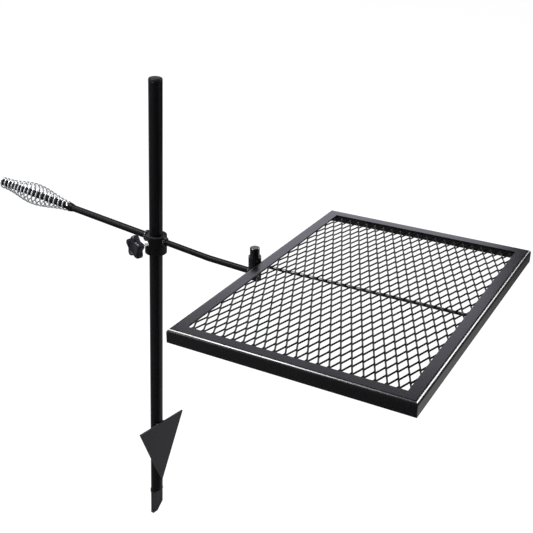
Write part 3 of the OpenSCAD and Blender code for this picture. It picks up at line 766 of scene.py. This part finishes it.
class GRILL_OT_clamp(bpy.types.Operator):
    """Builds the threaded bolt and the star knob"""

    bl_idname = "grill.clamp"
    bl_label = "Clamp"

    def execute(self, context):
        sizes = context.scene.grill_clamp
        axes = clamp_axes(sizes.turn)
        origin = np.array([0, 0, sizes.height])
        self.build_bolt(sizes, axes, origin)
        self.build_knob(sizes, axes, origin)
        dress("zinc_bolt", "knob_insert")
        return {"FINISHED"}

    def build_bolt(self, sizes, axes, origin):
        """A turned point, and a thread whose radius is a saw wave of place less turn.

        The wave is cut flat at its roots and crests, and rises to its full height over a chamfer.
        """
        sides, turn_rings = 48, 14
        bevel, shoulder, chamfer_length = 0.0004, 0.00001, 0.0012
        root, flank = 0.18, 0.64
        turn = np.linspace(0, 2 * np.pi, sides, endpoint=False)[None, :]
        start = sizes.tip_at + sizes.point_length
        thread_rings = int((sizes.bolt_end - start) / sizes.lead * turn_rings)
        place = np.concatenate([
            [sizes.tip_at, sizes.tip_at + bevel, start],
            np.linspace(start + shoulder, sizes.bolt_end, thread_rings),
        ])[:, None]
        saw = np.abs(((place / sizes.lead - turn / (2 * np.pi)) % 1) * 2 - 1)
        crest = np.clip((saw - root) / flank, 0, 1)
        chamfer = np.clip((place - start) / chamfer_length, 0, 1)
        thread = sizes.bolt_radius - sizes.thread_depth * (1 - crest * chamfer)
        point = sizes.point_radius - np.where(place <= sizes.tip_at, bevel, 0) + 0 * turn
        radius = np.where(place <= start, point, thread)
        along = np.broadcast_to(place, radius.shape)
        local = np.stack([radius * np.cos(turn), radius * np.sin(turn), along], axis=-1)
        rings = local @ axes + origin
        faces = [grid_faces(len(place), sides), end_faces(len(place), sides)]
        new_piece("bolt", [(rings, faces)], finishes()["zinc_bolt"], "bolt", "zinc_bolt", "clamp_bolt")

    def build_knob(self, sizes, axes, origin):
        """A turned profile whose head is drawn in between the lobes.

        The head's outline falls from the full radius by the hollow's depth times half of one less
        the cosine of the lobes' turn. The profile runs from the bore over the neck, round the head
        and into a shallow dish in its face, and its last number is the outline's weight.
        """
        sides, edge_rows, face_rows = 192, 6, 12
        bore_pole, face_pole, bevel, lip = 0.0002, 0.0004, 0.0004, 0.0006
        flare_in, flare_out, flare_fall, flare_weight = 0.0002, 0.0006, 0.0008, 0.02
        back_round, face_round, face_stop = 0.002, 0.0034, 82
        dish_rim, dish_out, dish_weight = 0.003, 0.0012, 0.25
        dish_run, dish_depth, dish_middle = 0.0016, 0.0012, 0.0008
        back = sizes.neck_length
        face = sizes.neck_length + sizes.head_length
        wide = sizes.head_radius
        dish = wide - sizes.hollow - dish_rim

        def outline(turn):
            wave = (1 - np.cos(sizes.lobes * (turn - sizes.lobe_turn))) / 2
            return 1 - sizes.hollow / wide * wave

        flare = sizes.neck_radius + sizes.neck_flare
        profile = np.concatenate([
            [[bore_pole, sizes.bore_depth, 0], [sizes.bore, sizes.bore_depth, 0]],
            [[sizes.bore, bevel, 0], [sizes.bore + bevel, 0, 0]],
            arc((sizes.neck_radius - lip, lip), lip, -90, -10, 0, edge_rows),
            [[flare - flare_in, back - flare_fall, 0], [flare + flare_out, back, flare_weight]],
            arc((wide - back_round, back + back_round), back_round, -90, 0, 1),
            arc((wide - face_round, face - face_round), face_round, 0, face_stop, 1, face_rows),
            [[dish + dish_out, face, dish_weight]],
            arc((dish + bevel, face - lip), lip, 70, 170, 0, edge_rows),
            [[dish - dish_run, face - dish_depth, 0], [face_pole, face - dish_middle, 0]],
        ])
        part = turned_part(profile, outline, axes, origin + sizes.neck_at * axes[2], sides)
        new_piece("knob", [part], finishes()["knob_plastic"], "knob", "knob_plastic", "star_knob")


class GRILL_OT_grate(bpy.types.Operator):
    """Finishes the grate's rails, rod, socket and welds"""

    bl_idname = "grill.grate"
    bl_label = "Grate"

    def execute(self, context):
        dress("black_coat", "rail_arm_side", "rail_fire_side", "rail_left", "rail_right")
        dress("black_coat", "support_rod", "pivot_socket")
        dress("weld_bead", "corner_welds", "rod_welds", "socket_welds")
        return {"FINISHED"}


class GRILL_OT_mesh(bpy.types.Operator):
    """Builds the expanded metal from tilted strands"""

    bl_idname = "grill.mesh"
    bl_label = "Expanded metal"

    def execute(self, context):
        sizes = context.scene.grill_mesh
        part = self.strands(sizes, context.scene.grill_arm)
        new_piece("expanded_metal", [part], finishes()["mesh_coat"], "grate", "mesh_coat", "mesh")
        return {"FINISHED"}

    def strands(self, sizes, arm):
        """Every strand as one block of arrays.

        A strand runs along the grate and swings across half a short pitch: a triangle wave in half
        long pitches, cut off flat at both ends, where it is bonded to its neighbour. Its section is
        a rounded strip, tilted out of the sheet's plane. A bond is two such strips side by side on
        the same slant, so the strand also rises and falls with its swing, by half a strip's slant.
        """
        steps, corner_share = 9, 0.22
        half_short, half_long = sizes.short / 2, sizes.long / 2
        columns = int((sizes.width - 2 * sizes.edge) / half_short)
        rows = int((sizes.span - 2 * sizes.edge) / half_long)
        count = int(sizes.span / half_long * steps)
        y = np.linspace(-sizes.span / 2, sizes.span / 2, count)
        column = np.arange(columns)
        phase = y[None, :] / half_long + rows / 2 + column[:, None]
        triangle = 1 - 2 * np.abs((phase % 2) - 1)
        swing = -np.clip(triangle / (1 - sizes.bond), -1, 1)
        reach = (half_short - sizes.strand * math.cos(sizes.tilt)) / 2
        x = (column[:, None] + 0.5 - columns / 2) * half_short + reach * swing
        slope = np.gradient(x, y, axis=1)
        tangent = unit(np.stack([slope, np.ones_like(slope), np.zeros_like(slope)], axis=-1))
        side = np.stack([tangent[..., 1], -tangent[..., 0], np.zeros_like(slope)], axis=-1)
        up = np.array([0.0, 0.0, 1.0])
        c, s = math.cos(sizes.tilt), math.sin(sizes.tilt)
        wide = c * side + s * up
        tall = -s * side + c * up
        w, g, r = sizes.strand / 2, sizes.gauge / 2, sizes.gauge * corner_share
        ring = np.array([
            [w, r - g], [w, g - r], [w - r, g], [r - w, g],
            [-w, g - r], [-w, r - g], [r - w, -g], [w - r, -g],
        ])
        depth = 2 * w * abs(s) + g * c
        middle = np.stack([x, np.broadcast_to(y, x.shape), -w * s * swing - depth], axis=-1)
        rings = (
            np.array([sizes.middle, 0, sizes.rise]) + middle[:, :, None, :]
            + ring[:, 0][None, None, :, None] * wide[:, :, None, :]
            + ring[:, 1][None, None, :, None] * tall[:, :, None, :]
        )
        rings = rings @ lean_axes(arm.lean) + np.array([arm.pivot, 0, arm.end_line])
        sides = len(ring)
        per_strand = count * sides
        base = (column * per_strand)[:, None, None]
        skin = (grid_faces(count, sides)[None, :, ::-1] + base).reshape(-1, 4)
        ends = (end_faces(count, sides)[None, :, ::-1] + base).reshape(-1, sides)
        return rings, [skin, ends]


class GRILL_OT_stage(bpy.types.Operator):
    """Sets the floor, the room's light, the lamps and the camera"""

    bl_idname = "grill.stage"
    bl_label = "Stage"

    def execute(self, context):
        sizes = context.scene.grill_stage
        self.set_view(context.scene)
        self.build_floor(sizes)
        self.light_room(context.scene, sizes)
        self.place_camera(context.scene, sizes)
        return {"FINISHED"}

    def set_view(self, scene):
        """Shows colours as they are written."""
        scene.view_settings.view_transform = "Standard"

    def rays(self, tree):
        """Two masks: 1 on rays straight from the camera, and 1 on rays off a glossy surface."""
        camera = Shade(tree, None).made("ShaderNodeLightPath", {}, {}, "Is Camera Ray")
        return camera, Shade(tree, camera.socket.node.outputs["Is Glossy Ray"])

    def build_floor(self, sizes):
        """A wide plain floor that is lifted towards white where it is seen and keeps its shadow.

        In reflections it is dark in front of the grill, less so at the left, pale close behind it and
        dark again far away. Each of those edges is a place and half the width of its soft step.
        """
        white, grey = 1.03, 0.9
        near_edge, far_edge, left_edge = (0.01, 0.07), (1.15, 0.9), (0.05, 0.45)
        left_share = 0.2
        reach = sizes.reach
        mesh = bpy.data.meshes.new("floor")
        corners = [(-reach, -reach), (reach, -reach), (reach, reach), (-reach, reach)]
        mesh.from_pydata([(x, y, sizes.floor) for x, y in corners], [], [(0, 1, 2, 3)])
        floor = bpy.data.objects.new("floor", mesh)
        bpy.context.scene.collection.objects.link(floor)
        material = bpy.data.materials.new("floor")
        material.use_nodes = True
        tree = material.node_tree
        tree.nodes.remove(tree.nodes["Principled BSDF"])
        start = Shade(tree, None)
        matt = start.made("ShaderNodeBsdfDiffuse", {}, {"Color": (grey, grey, grey, 1)})
        glow, dim, pale = (
            start.made("ShaderNodeEmission", {}, {"Color": (*WHITE, 1), "Strength": strength})
            for strength in (white, sizes.mirror, sizes.sweep)
        )
        place = start.made("ShaderNodeTexCoord", {}, {}, "Object")
        depth = start.made("ShaderNodeSeparateXYZ", {}, {0: place}, "Y")
        across = Shade(tree, depth.socket.node.outputs["X"])
        behind = depth.over(*near_edge) * (1 - depth.over(*far_edge))
        lit = behind + (1 - behind) * (1 - across.over(*left_edge)) * left_share
        camera, glossy = self.rays(tree)
        lifted = start.made("ShaderNodeMixShader", {}, {0: camera * sizes.whiteness, 1: matt, 2: glow})
        mirrored = start.made("ShaderNodeMixShader", {}, {0: lit, 1: dim, 2: pale})
        mixed = start.made("ShaderNodeMixShader", {}, {0: glossy, 1: lifted, 2: mirrored})
        tree.links.new(mixed.socket, tree.nodes["Material Output"].inputs["Surface"])
        mesh.materials.append(material)

    def light_room(self, scene, sizes):
        """An even white room that is dim in reflections, and four large soft lamps."""
        world = bpy.data.worlds.new("room")
        scene.world = world
        world.use_nodes = True
        tree = world.node_tree
        start = Shade(tree, None)
        camera, glossy = self.rays(tree)
        level = sizes.room + camera * (1 - sizes.room) + glossy * (sizes.mirror - sizes.room)
        room = start.made("ShaderNodeBackground", {}, {"Color": (*WHITE, 1), "Strength": level})
        tree.links.new(room.socket, tree.nodes["World Output"].inputs["Surface"])
        self.lamp(
            "back_lamp", place=(-1.3, 2.6, 1.27), aim=(-1.3, 0.0, 0.37), sides=(2.4, 1.5), power=16,
            tint=(0.88, 0.87, 1.0),
        )
        self.lamp("rim_lamp", place=(2.0, 2.6, 1.9), aim=(0.45, 0.0, 0.37), sides=(1.2, 1.1), power=90)
        self.lamp(
            "top_lamp", place=(-1.03, -0.5, 2.6), aim=(-1.03, 0.0, 0.37), sides=(0.85, 1.2), power=130
        )
        self.lamp("side_lamp", place=(-1.9, -1.9, 1.4), aim=(-0.2, 0.0, 0.38), sides=(1.2, 1.2), power=45)

    def lamp(self, name, place, aim, sides, power, tint=WHITE):
        """A rectangular area lamp that faces a point."""
        light = bpy.data.lights.new(name, "AREA")
        light.shape = "RECTANGLE"
        light.size, light.size_y = sides
        light.energy = power
        light.color = tint
        lamp = bpy.data.objects.new(name, light)
        lamp.location = place
        lamp.rotation_euler = (Vector(aim) - Vector(place)).to_track_quat("-Z", "Y").to_euler()
        bpy.context.scene.collection.objects.link(lamp)

    def place_camera(self, scene, sizes):
        """A camera turned by azimuth, elevation and roll."""
        ahead = Vector((-math.sin(sizes.azimuth), math.cos(sizes.azimuth), 0))
        right = Vector((math.cos(sizes.azimuth), math.sin(sizes.azimuth), 0))
        sight = ahead * math.cos(sizes.elevation) - Vector((0, 0, math.sin(sizes.elevation)))
        up = right.cross(sight)
        across = right * math.cos(sizes.roll) + up * math.sin(sizes.roll)
        above = across.cross(sight)
        turned = Matrix((across, above, -sight)).transposed().to_4x4()
        data = bpy.data.cameras.new("camera")
        data.sensor_width = 36
        data.lens = sizes.lens
        data.clip_end = 60
        camera = bpy.data.objects.new("camera", data)
        camera.matrix_world = Matrix.Translation(sizes.eye) @ turned
        scene.collection.objects.link(camera)
        scene.camera = camera


class GRILL_PT_panel(bpy.types.Panel):
    """The grill's pieces and sizes in the sidebar."""

    bl_idname = "GRILL_PT_panel"
    bl_label = "Campfire grill"
    bl_space_type = "VIEW_3D"
    bl_region_type = "UI"
    bl_category = "Grill"

    def draw(self, context):
        for operator in OPERATORS:
            self.layout.operator(operator.bl_idname)
        for name in GROUPS:
            box = self.layout.box()
            group = getattr(context.scene, name)
            for key in group.bl_rna.properties.keys():
                if key not in {"rna_type", "name"}:
                    box.prop(group, key)


GROUPS = {
    "grill_stake": GrillStake,
    "grill_arm": GrillArm,
    "grill_clamp": GrillClamp,
    "grill_mesh": GrillMesh,
    "grill_look": GrillLook,
    "grill_stage": GrillStage,
}
OPERATORS = (
    GRILL_OT_stake,
    GRILL_OT_arm,
    GRILL_OT_spring,
    GRILL_OT_clamp,
    GRILL_OT_grate,
    GRILL_OT_mesh,
    GRILL_OT_stage,
)


def register():
    """Adds the groups, the operators and the panel."""
    for name, group in GROUPS.items():
        bpy.utils.register_class(group)
        setattr(bpy.types.Scene, name, PointerProperty(type=group))
    for kind in (*OPERATORS, GRILL_PT_panel):
        bpy.utils.register_class(kind)


def unregister():
    """Takes away what register added, in reverse."""
    for kind in (GRILL_PT_panel, *reversed(OPERATORS)):
        bpy.utils.unregister_class(kind)
    for name, group in reversed(GROUPS.items()):
        delattr(bpy.types.Scene, name)
        bpy.utils.unregister_class(group)


def main():
    """Builds the pieces in order."""
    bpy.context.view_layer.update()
    register()
    bpy.ops.grill.stake()
    bpy.ops.grill.arm()
    bpy.ops.grill.spring()
    bpy.ops.grill.clamp()
    bpy.ops.grill.grate()
    bpy.ops.grill.mesh()
    bpy.ops.grill.stage()


if __name__ == "__main__":
    main()
